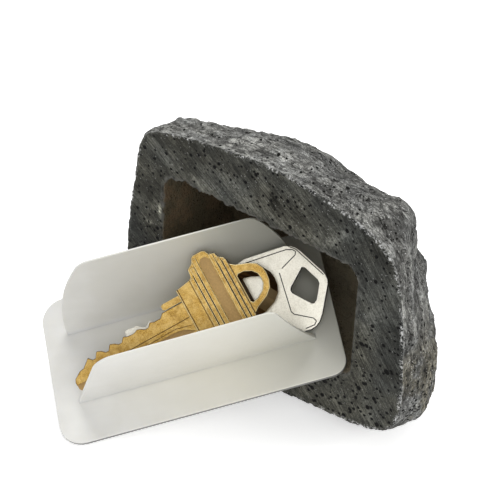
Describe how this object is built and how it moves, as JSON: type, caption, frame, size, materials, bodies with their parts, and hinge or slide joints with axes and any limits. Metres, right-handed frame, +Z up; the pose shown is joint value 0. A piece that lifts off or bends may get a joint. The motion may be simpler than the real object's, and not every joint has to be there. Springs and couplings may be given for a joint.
{
  "type": "hide a key rock",
  "caption": "Imitation stone with a flat face and a hollow, its winged plastic key tray drawn out and leant in the mouth, and house keys lying in the tray.",
  "frame": {"origin": "on the ground, in the middle of the flat land that the stone stands on", "axes": "+Z up; +X along the flat face, to the right of someone who looks at it; -Y the way the flat face looks"},
  "size_m": [0.0957, 0.0872, 0.0722],
  "materials": {
    "stone": "sawn and rough",
    "tray_plastic": "satin",
    "nickel": "satin plating",
    "brass": "worn satin"
  },
  "bodies": {
    "rock": {"rock_shell": "stone"},
    "tray": {"key_tray": "tray_plastic"},
    "lower key": {"nickel_key": "nickel"},
    "upper key": {"brass_key": "brass"}
  },
  "joints": [
    {"name": "tray_draw", "type": "slide", "parent": "rock", "child": "tray", "axis": [0, -1, 0], "range_m": [0, 0.06]},
    {"name": "lower_key_lift", "type": "slide", "parent": "tray", "child": "lower key", "axis": [-0.5131, -0.8101, 0.2835], "range_m": [0, 0.07]},
    {"name": "upper_key_lift", "type": "slide", "parent": "lower key", "child": "upper key", "axis": [-0.5131, -0.8101, 0.2835], "range_m": [0, 0.07]}
  ]
}
